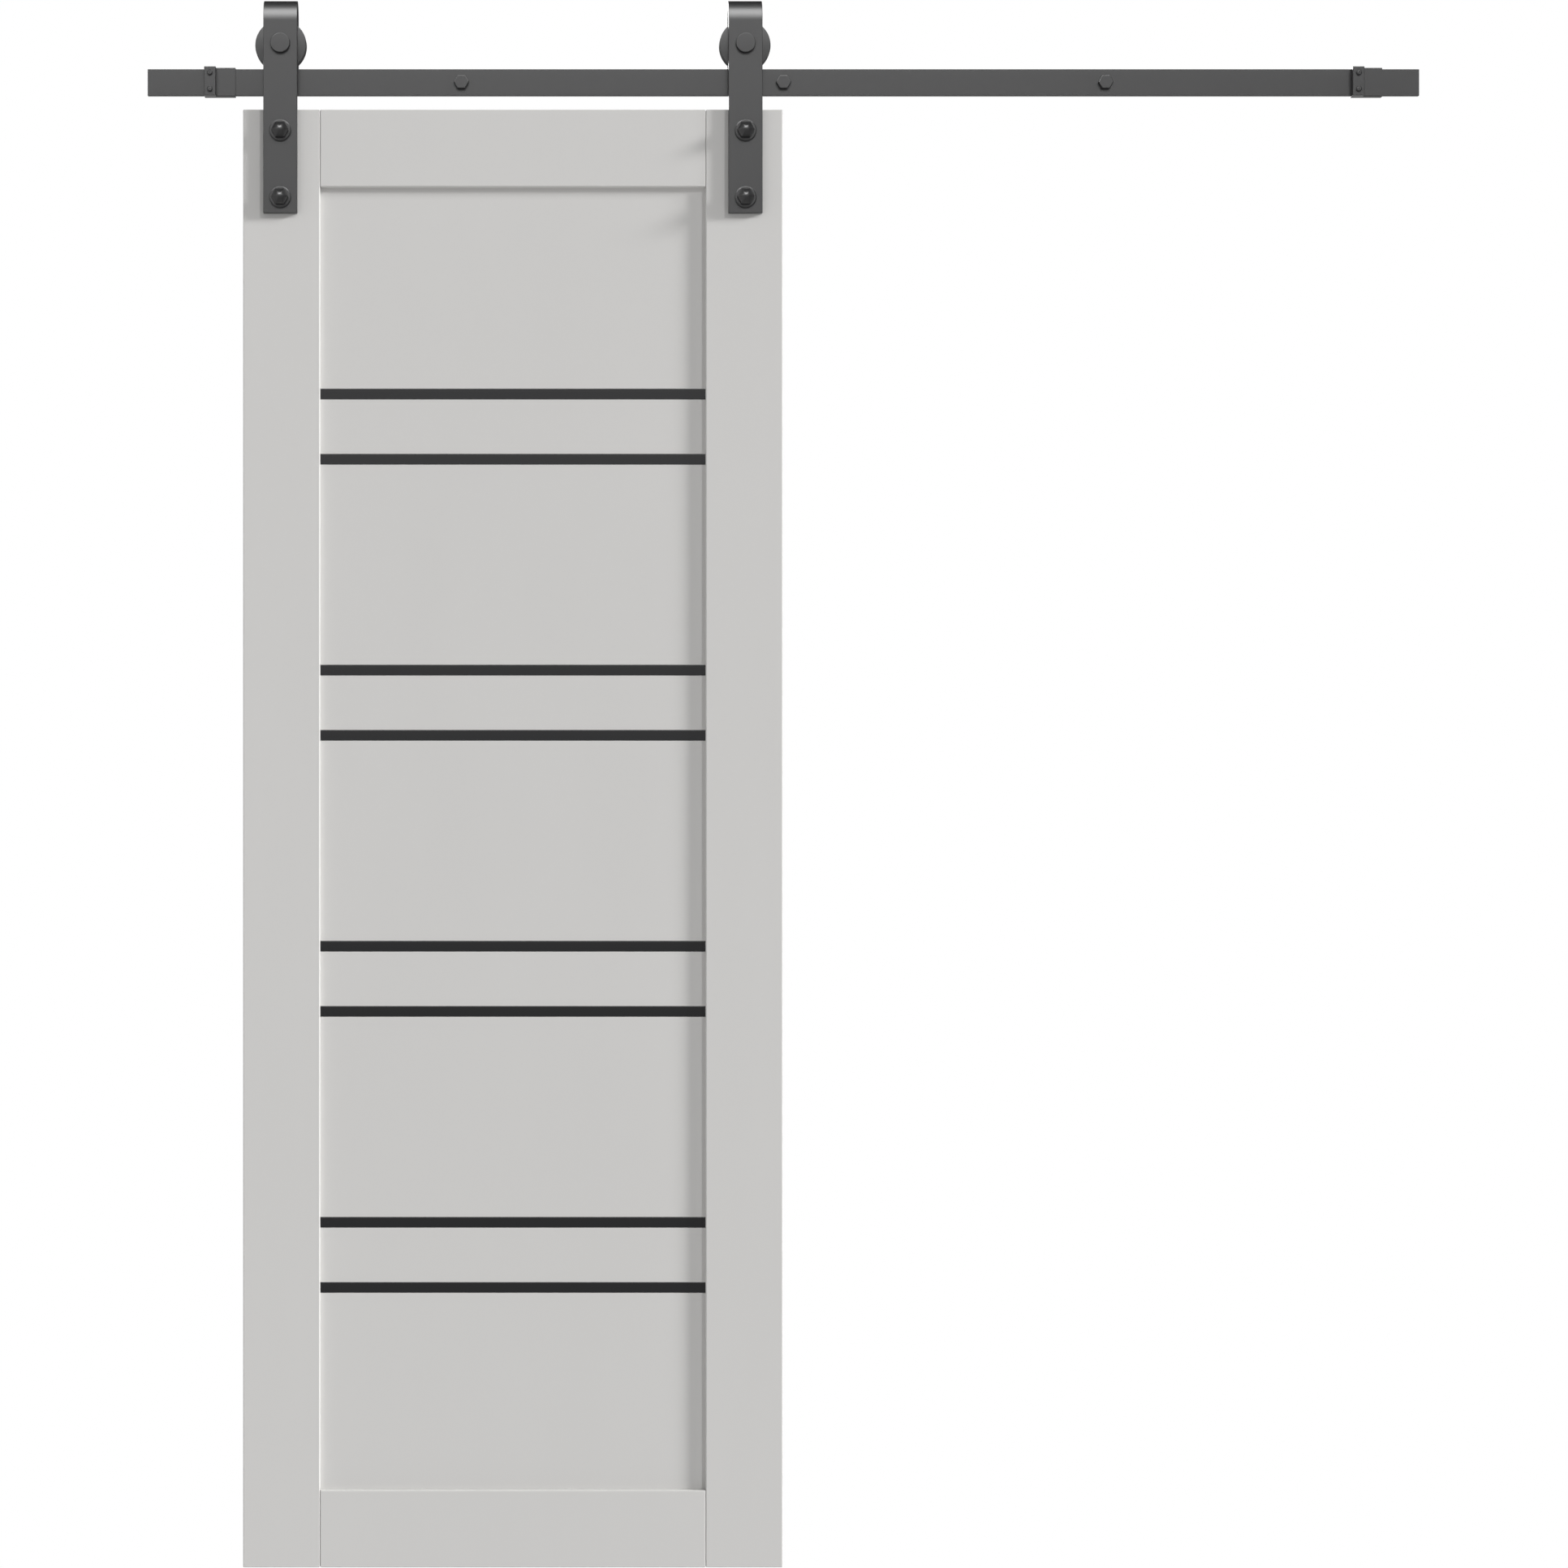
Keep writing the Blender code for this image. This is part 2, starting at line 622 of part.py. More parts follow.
def shared_meshes():
    """Meshes that the pieces on both hangers share."""
    sleeve = YOKE_GAP / 2 - GAP
    bearing = BEARING_WIDTH / 2
    return {
        "strap": strap_mesh(),
        "axle_bolt": axle_bolt_mesh(),
        "axle_nut": axle_nut_mesh(),
        "axle_sleeve": tube("axle_sleeve", SLEEVE_RADIUS, AXLE_RADIUS + GAP, -sleeve, sleeve),
        "wheel": wheel_mesh(),
        "bearing": tube("bearing", BEARING_RADIUS - GAP, SLEEVE_RADIUS + GAP, -bearing, bearing),
        "washer": tube("washer", WASHER_RADIUS, DOOR_BOLT_RADIUS + GAP, 0.0, WASHER_THICKNESS),
        "door_bolt": door_bolt_mesh(),
        "sleeve_nut": sleeve_nut_mesh(),
    }


clear_scene()
PARTS = new_collection("sliding_barn_door")
CUTTERS = new_collection("cutters", hidden=True)
STEEL = new_material("powder_coated_steel", (0.095, 0.095, 0.095), 0.45, 0.0)
ZINC = new_material("zinc_plated_steel", (0.55, 0.56, 0.57), 0.35, 1.0)
DOOR_WHITE = new_material("door_white", (0.72, 0.71, 0.70), 0.40, 0.0)
BLACK_GLASS = new_material("black_glass", (0.02, 0.02, 0.02), 0.06, 0.0)
MESHES = shared_meshes()

build_rail()
build_stops()
DOOR_SLIDE = axis_empty("door_slide", (DOOR_X, 0, 0))
build_leaf(DOOR_SLIDE)
for hanger_side, hanger_x in (("left", -HANGER_SPACING / 2), ("right", HANGER_SPACING / 2)):
    build_hanger(hanger_side, hanger_x, DOOR_SLIDE)
    build_door_bolts(hanger_side, hanger_x, DOOR_SLIDE)
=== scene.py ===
"""Looks of the sliding barn door set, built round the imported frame.

Metres in the frame's own axes: +X along the rail to the right, -Y out into the room, +Z up.
The origin is where the middle fixing bolt crosses the wall plane.
"""

import math

import bmesh
import bpy
from mathutils import Matrix, Vector


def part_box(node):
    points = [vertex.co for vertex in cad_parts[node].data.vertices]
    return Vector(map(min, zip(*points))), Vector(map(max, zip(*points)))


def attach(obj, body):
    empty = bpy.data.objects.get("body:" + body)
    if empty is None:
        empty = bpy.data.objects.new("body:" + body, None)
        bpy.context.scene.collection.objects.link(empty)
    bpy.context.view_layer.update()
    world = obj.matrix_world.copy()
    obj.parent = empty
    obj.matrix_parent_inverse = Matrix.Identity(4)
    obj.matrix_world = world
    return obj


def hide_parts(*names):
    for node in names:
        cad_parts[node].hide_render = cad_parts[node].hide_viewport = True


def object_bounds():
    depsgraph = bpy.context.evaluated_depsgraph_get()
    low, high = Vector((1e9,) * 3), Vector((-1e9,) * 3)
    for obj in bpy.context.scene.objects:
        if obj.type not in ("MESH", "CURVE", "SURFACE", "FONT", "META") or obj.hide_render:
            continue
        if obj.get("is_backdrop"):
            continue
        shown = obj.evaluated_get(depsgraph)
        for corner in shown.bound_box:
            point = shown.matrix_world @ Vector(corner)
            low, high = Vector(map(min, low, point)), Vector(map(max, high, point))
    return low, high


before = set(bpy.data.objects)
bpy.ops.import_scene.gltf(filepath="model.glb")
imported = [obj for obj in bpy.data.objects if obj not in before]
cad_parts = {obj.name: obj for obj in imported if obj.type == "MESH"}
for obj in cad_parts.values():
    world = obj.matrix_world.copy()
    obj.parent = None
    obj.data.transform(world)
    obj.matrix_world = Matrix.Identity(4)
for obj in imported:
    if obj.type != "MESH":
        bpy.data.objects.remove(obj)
CAD_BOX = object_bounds()

SIDES = ("left", "right")
LEVELS = ("upper", "lower")
FIXINGS = ("left", "middle", "right")

# Turned and six-sided pieces are drawn standing on +Z and then laid along Y
INTO_ROOM = Matrix.Rotation(math.radians(90), 4, "X")
INTO_WALL = Matrix.Rotation(math.radians(-90), 4, "X")

# The play under a bolt's head, and how far its shank starts inside the head
GAP = 0.0003
SHANK_ROOT = 0.0005

TURN_STEPS = 96
FILLET_STEPS = 4
SMOOTH_ANGLE = math.radians(32)
ROUND_EDGE = {"segments": 3, "profile": 0.5, "affect": "EDGES"}

# A thread's ridge, the share of its height left at its end, and of the rod's width left at a drawn-in tip
THREAD_STEEPNESS = 2.6
THREAD_END = 0.2
THREAD_TIP = 0.12


# Frame sizes


def middle(node):
    low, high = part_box(node)
    return (low + high) / 2


def size(node):
    low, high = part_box(node)
    return high - low


def front(node):
    """The y of the node's face that is nearest to the room."""
    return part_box(node)[0].y


# Outlines


def filleted(corners, closed=True):
    """Points of an outline whose corners (u, v, radius) are rounded."""
    points = []
    count = len(corners)
    for index, (u, v, radius) in enumerate(corners):
        corner = Vector((u, v))
        is_end = not closed and index in (0, count - 1)
        if radius <= 0 or is_end:
            points.append(corner)
            continue
        before = (Vector(corners[index - 1][:2]) - corner).normalized()
        after = (Vector(corners[(index + 1) % count][:2]) - corner).normalized()
        half = before.angle(after) / 2
        centre = corner + (before + after).normalized() * radius / math.sin(half)
        start = corner + before * radius / math.tan(half) - centre
        sweep = start.angle_signed(corner + after * radius / math.tan(half) - centre)
        for step in range(FILLET_STEPS + 1):
            turn = Matrix.Rotation(-sweep * step / FILLET_STEPS, 2)
            points.append(centre + turn @ start)
    return points


def regular_outline(radius, sides, rounding):
    """A regular polygon with two corners on the X axis."""
    turns = [math.tau * i / sides for i in range(sides)]
    return filleted([(radius * math.cos(t), radius * math.sin(t), rounding) for t in turns])


def soft_hexagon(angle, sharpness):
    """Distance from the middle to a hexagon of unit apothem. A higher sharpness gives tighter corners."""
    flats = (math.cos(angle - math.radians(60 * k + 30)) for k in range(6))
    return sum(max(0.0, flat) ** sharpness for flat in flats) ** (-1 / sharpness)


# Meshes


def bodies(shape):
    """The faces of each separate closed body in the shape."""
    left = set(shape.faces)
    while left:
        body = []
        edge_of_search = [left.pop()]
        while edge_of_search:
            face = edge_of_search.pop()
            body.append(face)
            touching = {other for edge in face.edges for other in edge.link_faces} & left
            left -= touching
            edge_of_search.extend(touching)
        yield body


def volume(faces):
    """Six times the volume inside the faces: below zero when they look inwards."""
    total = 0.0
    for face in faces:
        first, *others = (vert.co for vert in face.verts)
        total += sum(first.dot(a.cross(b)) for a, b in zip(others, others[1:]))
    return total


def new_mesh(shape, name):
    """The shape as a mesh: welded, and with the faces of each body looking outwards."""
    bmesh.ops.remove_doubles(shape, verts=shape.verts, dist=1e-6)
    bmesh.ops.dissolve_degenerate(shape, edges=shape.edges, dist=1e-7)
    bmesh.ops.recalc_face_normals(shape, faces=shape.faces)
    for body in bodies(shape):
        if volume(body) < 0:
            bmesh.ops.reverse_faces(shape, faces=body)
    mesh = bpy.data.meshes.new(name)
    shape.to_mesh(mesh)
    shape.free()
    return mesh


def lathe(shape, corners, closed=False, steps=TURN_STEPS):
    """Adds a turned body to the shape, from (radius, height, fillet) corners."""
    outline = filleted(corners, closed)
    verts = [shape.verts.new((p.x, 0, p.y)) for p in outline]
    pairs = list(zip(verts, verts[1:]))
    if closed:
        pairs.append((verts[-1], verts[0]))
    edges = [shape.edges.new(pair) for pair in pairs]
    axis = {"cent": (0, 0, 0), "axis": (0, 0, 1), "angle": math.tau}
    bmesh.ops.spin(shape, geom=verts + edges, steps=steps, use_merge=True, **axis)


def turned(name, corners, closed=False, steps=TURN_STEPS):
    """A turned body as a mesh of its own."""
    shape = bmesh.new()
    lathe(shape, corners, closed, steps)
    return new_mesh(shape, name)


def shank(radius, end, top, tip=0.0):
    """Corners of a plain rod from a height down to its end, with its tip rounded over."""
    return [(0, top, 0), (radius, top, 0), (radius, end, tip), (0, end, 0)]


def tube(bore, radius, low, high, inner_edge, outer_edge):
    """Corners of a tube with rounded rims."""
    return [
        (bore, high, inner_edge),
        (radius, high, outer_edge),
        (radius, low, outer_edge),
        (bore, low, inner_edge),
    ]


def loft(shape, rings, caps=True):
    """Joins rings of points, each as long as the next, with quads."""
    rows = [[shape.verts.new(point) for point in ring] for ring in rings]
    for low, high in zip(rows, rows[1:]):
        for i in range(len(low)):
            j = (i + 1) % len(low)
            shape.faces.new((low[i], low[j], high[j], high[i]))
    if caps:
        shape.faces.new(rows[0])
        shape.faces.new(rows[-1])


def prism(name, outline, low, high, rim_in=0.0, rim_down=0.0):
    """An outline stood up between two heights, with its rims rounded over so far in and so far down."""
    reach = max(point.length for point in outline)
    quarter = [math.pi / 2 * step / FILLET_STEPS for step in range(FILLET_STEPS + 1)]
    arc = quarter if rim_in else quarter[-1:]
    scales = [1 - rim_in * (1 - math.sin(angle)) / reach for angle in arc]
    drops = [rim_down * (1 - math.cos(angle)) for angle in arc]
    levels = [(scale, low + drop) for scale, drop in zip(scales, drops)]
    levels += [(scale, high - drop) for scale, drop in reversed(list(zip(scales, drops)))]
    rings = [[(p.x * scale, p.y * scale, height) for p in outline] for scale, height in levels]
    shape = bmesh.new()
    loft(shape, rings)
    return new_mesh(shape, name)


def rounded_box(name, box_size, radius):
    """A box about the origin with all its edges rounded."""
    shape = bmesh.new()
    bmesh.ops.create_cube(shape, size=1, matrix=Matrix.Diagonal((*box_size, 1)))
    bmesh.ops.bevel(shape, geom=shape.edges[:], offset=radius, **ROUND_EDGE)
    return new_mesh(shape, name)


def thread(shape, core, crest, pitch, start, length, taper=0.0, sides=32, rings_per_turn=10):
    """Adds a threaded rod that runs down from a height. The taper is how much of its end is drawn in."""
    count = max(2, round(length / pitch * rings_per_turn))
    rings = []
    for level in range(count + 1):
        down = length * level / count
        run_in = min(1, down / pitch, (length - down) / pitch + THREAD_END)
        drawn_in = min(1, (length - down) / taper + THREAD_TIP) if taper else 1
        ring = []
        for side in range(sides):
            turn = side / sides
            along = (down / pitch + turn) % 1
            ridge = max(0, 1 - THREAD_STEEPNESS * abs(along - 0.5))
            radius = (core + (crest - core) * ridge * run_in) * drawn_in
            angle = math.tau * turn
            ring.append((radius * math.cos(angle), radius * math.sin(angle), start - down))
        rings.append(ring)
    loft(shape, rings)


def with_tools(mesh, operation, tools):
    """The mesh cut by, joined to or kept inside the tools."""
    base = bpy.data.objects.new(mesh.name, mesh)
    helpers = [base]
    bpy.context.scene.collection.objects.link(base)
    for tool in tools:
        helper = bpy.data.objects.new("tool", tool)
        bpy.context.scene.collection.objects.link(helper)
        boolean = base.modifiers.new("Boolean", "BOOLEAN")
        boolean.operation = operation
        boolean.object = helper
        helpers.append(helper)
    bpy.context.view_layer.update()
    result = bpy.data.meshes.new_from_object(base.evaluated_get(bpy.context.evaluated_depsgraph_get()))
    result.name = mesh.name
    for helper in helpers:
        bpy.data.objects.remove(helper)
    return result


def drill(radius, x, z, depth, sides=64):
    """A round cutter along Y."""
    shape = bmesh.new()
    bmesh.ops.create_cone(
        shape, cap_ends=True, segments=sides, radius1=radius, radius2=radius, depth=depth,
        matrix=Matrix.Translation((x, 0, z)) @ INTO_ROOM,
    )
    return new_mesh(shape, "drill")


# Materials


def node(tree, kind, **inputs):
    """A shader node with its plain inputs set: a number or colour by the socket's name."""
    made = tree.nodes.new(kind)
    for name, value in inputs.items():
        made.inputs[name.replace("_", " ")].default_value = value
    return made


def principled(name, **values):
    """A new material with its plain shader values set, its node tree and its shader."""
    material = bpy.data.materials.new(name)
    material.use_nodes = True
    shader = material.node_tree.nodes["Principled BSDF"]
    for socket, value in values.items():
        shader.inputs[socket.replace("_", " ")].default_value = value
    return material, material.node_tree, shader


def grain(tree, scale, detail=3.0, stretch=(1, 1, 1)):
    """Noise in the piece's own metres."""
    place = node(tree, "ShaderNodeTexCoord")
    mapping = node(tree, "ShaderNodeMapping", Scale=stretch)
    noise = node(tree, "ShaderNodeTexNoise", Scale=scale, Detail=detail, Roughness=0.55)
    tree.links.new(place.outputs["Object"], mapping.inputs["Vector"])
    tree.links.new(mapping.outputs["Vector"], noise.inputs["Vector"])
    return noise.outputs["Fac"]


def spread(tree, source, low, high):
    """The source's middle stretch mapped to run from low to high: numbers or colours."""
    ramp = tree.nodes.new("ShaderNodeValToRGB")
    for element, position, value in zip(ramp.color_ramp.elements, (0.3, 0.7), (low, high)):
        element.position = position
        element.color = (*value, 1) if isinstance(value, tuple) else (value, value, value, 1)
    tree.links.new(source, ramp.inputs["Fac"])
    return ramp.outputs["Color"]


def bump(tree, shader, heights):
    """Relief from (source, distance, strength) layers."""
    normal = None
    for source, distance, strength in heights:
        layer = node(tree, "ShaderNodeBump", Distance=distance, Strength=strength)
        tree.links.new(source, layer.inputs["Height"])
        if normal:
            tree.links.new(normal, layer.inputs["Normal"])
        normal = layer.outputs["Normal"]
    tree.links.new(normal, shader.inputs["Normal"])


def coated_steel():
    """Dark grey satin powder coat: a fine pebbled skin with a slightly uneven sheen."""
    material, tree, shader = principled("coated_steel", IOR=2.0)
    patches = grain(tree, 45)
    pebbles = grain(tree, 1400, detail=2)
    colour = spread(tree, patches, (0.0105, 0.0105, 0.011), (0.0125, 0.0125, 0.013))
    tree.links.new(colour, shader.inputs["Base Color"])
    tree.links.new(spread(tree, pebbles, 0.30, 0.36), shader.inputs["Roughness"])
    bump(tree, shader, [(pebbles, 0.00004, 0.35)])
    return material


def zinc_steel():
    """Bright zinc plate with fine turning marks."""
    material, tree, shader = principled("zinc_steel", Metallic=1.0)
    marks = grain(tree, 900, detail=4, stretch=(1, 6, 1))
    clouds = grain(tree, 160)
    colour = spread(tree, clouds, (0.50, 0.51, 0.53), (0.60, 0.61, 0.62))
    tree.links.new(colour, shader.inputs["Base Color"])
    tree.links.new(spread(tree, marks, 0.24, 0.36), shader.inputs["Roughness"])
    bump(tree, shader, [(marks, 0.00003, 0.3)])
    return material


def door_laminate():
    """Off-white satin laminate with a barely visible pressed grain that runs up the leaf."""
    material, tree, shader = principled("door_laminate", Specular_IOR_Level=0.2)
    fibres = grain(tree, 260, detail=5, stretch=(1, 1, 0.04))
    tone = grain(tree, 9, stretch=(1, 1, 0.3))
    colour = spread(tree, tone, (0.714, 0.706, 0.692), (0.722, 0.714, 0.700))
    tree.links.new(colour, shader.inputs["Base Color"])
    tree.links.new(spread(tree, fibres, 0.44, 0.50), shader.inputs["Roughness"])
    bump(tree, shader, [(fibres, 0.00005, 0.12)])
    return material


def black_glass():
    """Black back-lacquered glass, polished and opaque, with the faint waviness of float glass."""
    material, tree, shader = principled("black_glass", Specular_IOR_Level=1.0)
    waves = grain(tree, 14, detail=1)
    dust = grain(tree, 700, detail=2)
    colour = spread(tree, dust, (0.009, 0.009, 0.010), (0.012, 0.012, 0.013))
    tree.links.new(colour, shader.inputs["Base Color"])
    tree.links.new(spread(tree, dust, 0.06, 0.10), shader.inputs["Roughness"])
    bump(tree, shader, [(waves, 0.0003, 0.1)])
    return material


FINISHES = {
    "coated_steel": coated_steel(),
    "zinc_steel": zinc_steel(),
    "door_laminate": door_laminate(),
    "black_glass": black_glass(),
}


# Pieces


def even_shading(obj):
    """Lets the large faces set the shading, so that only the rounded edges look curved."""
    weigh = obj.modifiers.new("Even shading", "WEIGHTED_NORMAL")
    weigh.keep_sharp = True


def piece(node_name, mesh, finish, body, at, turn=None):
    """One finished piece that stands for its CAD node."""
    obj = bpy.data.objects.new(f"{node_name}_finished", mesh)
    bpy.context.scene.collection.objects.link(obj)
    obj.matrix_world = Matrix.Translation(at) @ (turn or Matrix.Identity(4))
    if not mesh.materials:
        mesh.materials.append(FINISHES[finish])
        mesh.shade_smooth()
        mesh.set_sharp_from_angle(angle=SMOOTH_ANGLE)
    even_shading(obj)
    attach(obj, body)
    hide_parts(node_name)
    return obj


def refined(node_name, finish, edge):
    """A CAD node with its edges rounded and its finish put on."""
    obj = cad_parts[node_name]
    for normals in ("custom_normal", "sharp_edge"):
        if normals in obj.data.attributes:
            obj.data.attributes.remove(obj.data.attributes[normals])
    obj.data.shade_smooth()
    weld = obj.modifiers.new("Weld", "WELD")
    weld.merge_threshold = 0.00001
    dissolve = obj.modifiers.new("Flat faces", "DECIMATE")
    dissolve.decimate_type = "DISSOLVE"
    dissolve.angle_limit = math.radians(1)
    bevel = obj.modifiers.new("Rounded edges", "BEVEL")
    bevel.width = edge
    bevel.segments = 3
    bevel.angle_limit = math.radians(30)
    even_shading(obj)
    obj.data.materials.clear()
    obj.data.materials.append(FINISHES[finish])


# Wall rail and its fixings

RAIL_EDGE = 0.0008
FIXING_HOLE = 0.0063
FIXING_HEAD_FLATS = 0.0192
FIXING_HEAD_CORNER = 0.0006
FIXING_HEAD_RIM = (0.0013, 0.0006)
FIXING_SHANK = 0.006
FIXING_THREAD_CORE = 0.0043
FIXING_THREAD_PITCH = 0.0045
FIXING_THREAD_LENGTH = 0.042
FIXING_POINT = 0.009
SPACER_BORE = 0.0063


def build_rail():
    holes = [drill(FIXING_HOLE, middle(f"rail_bolt_{p}").x, 0, 0.1) for p in FIXINGS]
    bar = with_tools(rounded_box("rail", size("rail"), RAIL_EDGE), "DIFFERENCE", holes)
    piece("rail", bar, "coated_steel", "wall_track", middle("rail"))


def fixing_bolt():
    """A coach bolt, drawn with the underside of its head at height 0."""
    low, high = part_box("rail_bolt_middle")
    head_height = front("rail") - GAP - low.y
    length = high.y - low.y - head_height
    shape = bmesh.new()
    outline = regular_outline(FIXING_HEAD_FLATS / math.sqrt(3), 6, FIXING_HEAD_CORNER)
    shape.from_mesh(prism("fixing_head", outline, 0, head_height, *FIXING_HEAD_RIM))
    smooth_end = FIXING_THREAD_LENGTH - length
    lathe(shape, shank(FIXING_SHANK, smooth_end, SHANK_ROOT, tip=0.0004))
    flank = (FIXING_THREAD_CORE, FIXING_SHANK, FIXING_THREAD_PITCH)
    thread(shape, *flank, smooth_end, FIXING_THREAD_LENGTH, taper=FIXING_POINT)
    return new_mesh(shape, "fixing_bolt"), head_height


def build_fixings():
    bolt, head_height = fixing_bolt()
    spacer_size = size("rail_spacer_middle")
    corners = tube(SPACER_BORE, spacer_size.x / 2, 0, spacer_size.y, 0.0003, 0.0006)
    spacer = turned("rail_spacer", corners, closed=True)
    for place in FIXINGS:
        at = middle(f"rail_bolt_{place}")
        at.y = front(f"rail_bolt_{place}") + head_height
        piece(f"rail_bolt_{place}", bolt, "coated_steel", "wall_track", at, INTO_ROOM)
        at = middle(f"rail_spacer_{place}")
        at.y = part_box(f"rail_spacer_{place}")[1].y
        piece(f"rail_spacer_{place}", spacer, "coated_steel", "wall_track", at, INTO_ROOM)


# End stops

STOP_SHEET = 0.0015
STOP_BEND_OUTSIDE = 0.0014
STOP_BEND_INSIDE = 0.0003
STOP_BLOCK_EDGE = 0.0008
STOP_SCREW_SHANK = 0.002
STOP_SCREW_SOCKET = 0.0011


def sheet_wall(depth, height, bend):
    """A rectangle about the rail with its corners bent round."""
    u, v = depth / 2, height / 2
    return filleted([(u, v, bend), (-u, v, bend), (-u, -v, bend), (u, -v, bend)])


def stop_sleeve():
    """A folded sheet sleeve with rounded bends, centred on the rail."""
    length, depth, height = size("stop_sleeve_left")
    outer = sheet_wall(depth, height, STOP_BEND_OUTSIDE)
    inner = sheet_wall(depth - 2 * STOP_SHEET, height - 2 * STOP_SHEET, STOP_BEND_INSIDE)
    left, right = -length / 2, length / 2
    turns = ((left, outer), (right, outer), (right, inner), (left, inner), (left, outer))
    shape = bmesh.new()
    loft(shape, [[(x, p.x, p.y) for p in wall] for x, wall in turns], caps=False)
    return new_mesh(shape, "stop_sleeve")


def stop_screw():
    """A button-head socket screw, drawn with the underside of its head at height 0."""
    low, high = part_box("stop_screw_left_upper")
    rim = (high.x - low.x) / 2
    crown = front("stop_block_left") - GAP - low.y
    length = high.y - low.y - crown
    dome = [(0, crown, 0), (0.66 * rim, crown, 0.0006), (rim, 0.6 * crown, 0.0005), (rim, 0, 0.0001)]
    rod = shank(STOP_SCREW_SHANK, -length, 0, tip=0.0004)[1:]
    socket = prism("socket", regular_outline(STOP_SCREW_SOCKET, 6, 0), 0.7 * crown, 2 * crown)
    screw = turned("stop_screw", dome + rod, steps=64)
    return with_tools(screw, "DIFFERENCE", [socket]), crown


def build_stops():
    sleeve = stop_sleeve()
    block = rounded_box("stop_block", size("stop_block_left"), STOP_BLOCK_EDGE)
    screw, crown = stop_screw()
    for side in SIDES:
        piece(f"stop_sleeve_{side}", sleeve, "coated_steel", "wall_track", middle(f"stop_sleeve_{side}"))
        piece(f"stop_block_{side}", block, "coated_steel", "wall_track", middle(f"stop_block_{side}"))
        for level in LEVELS:
            name = f"stop_screw_{side}_{level}"
            at = middle(name)
            at.y = front(name) + crown
            piece(name, screw, "coated_steel", "wall_track", at, INTO_ROOM)


# Hangers

STRAP_THICKNESS = 0.008
STRAP_EDGE = 0.0007
BEND_HEIGHT = 0.032
REAR_FOOT = -0.033
BEND_STEPS = 48
AXLE_RADIUS = 0.005
AXLE_HOLE = 0.0053
AXLE_THREAD_PITCH = 0.0015
AXLE_THREAD_CORE = 0.0041
AXLE_THREAD_LENGTH = 0.020
AXLE_NUT_FLATS = 0.017
AXLE_NUT_RIM = 0.0082
AXLE_NUT_SLOPE = 0.58
AXLE_NUT_SINK = 0.0006
AXLE_NUT_STEPS = 96
TREAD_RADIUS = 0.034
GROOVE_HALF = 0.0036
WHEEL_HUB = 0.0205
BEARING_SEAT = 0.015
BEARING_BORE = 0.0073
INNER_RACE = 0.0092
OUTER_RACE = 0.0126
SHIELD_SINK = 0.0007
SHIELD_SHEET = 0.0006


def strap_outline(half_depth, foot, top):
    """(y, z) points round the bent bar, from its front foot over the bend to its rear foot and back."""
    spring = top - BEND_HEIGHT
    inner_depth, inner_height = half_depth - STRAP_THICKNESS, BEND_HEIGHT - STRAP_THICKNESS
    turns = [math.pi * step / BEND_STEPS for step in range(BEND_STEPS + 1)]
    outer = [(-half_depth * math.cos(t), spring + BEND_HEIGHT * math.sin(t)) for t in turns]
    inner = [(inner_depth * math.cos(t), spring + inner_height * math.sin(t)) for t in turns]
    rear_end = [(half_depth, REAR_FOOT), (inner_depth, REAR_FOOT)]
    return [(-half_depth, foot), *outer, *rear_end, *inner, (-inner_depth, foot)]


def strap(side):
    """A flat bar bent over the wheel, drawn about the axle."""
    axle = middle(f"wheel_{side}")
    low, high = (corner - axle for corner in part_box(f"strap_{side}"))
    outline = strap_outline((high.y - low.y) / 2, low.z, high.z)
    shape = bmesh.new()
    loft(shape, [[(x, y, z) for y, z in outline] for x in (low.x, high.x)])
    bmesh.ops.recalc_face_normals(shape, faces=shape.faces)
    sharp = [edge for edge in shape.edges if edge.calc_face_angle() > math.radians(60)]
    bmesh.ops.bevel(shape, geom=sharp, offset=STRAP_EDGE, **ROUND_EDGE)
    heights = [0] + [middle(f"washer_{side}_{level}").z - axle.z for level in LEVELS]
    holes = [drill(AXLE_HOLE, 0, height, 0.2) for height in heights]
    return with_tools(new_mesh(shape, "strap"), "DIFFERENCE", holes)


def axle_bolt(side):
    """The axle, drawn with the underside of its round head at height 0."""
    low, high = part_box(f"axle_bolt_{side}")
    radius = (high.x - low.x) / 2
    height = front(f"strap_{side}") - GAP - low.y
    length = high.y - low.y - height
    head = [(0, height, 0), (radius, height, 0.0011), (radius, 0, 0.0003)]
    smooth_end = AXLE_THREAD_LENGTH - length
    shape = bmesh.new()
    lathe(shape, head + shank(AXLE_RADIUS, smooth_end, 0)[1:])
    flank = (AXLE_THREAD_CORE, AXLE_RADIUS, AXLE_THREAD_PITCH)
    thread(shape, *flank, smooth_end, AXLE_THREAD_LENGTH - 0.001)
    return new_mesh(shape, "axle_bolt"), height


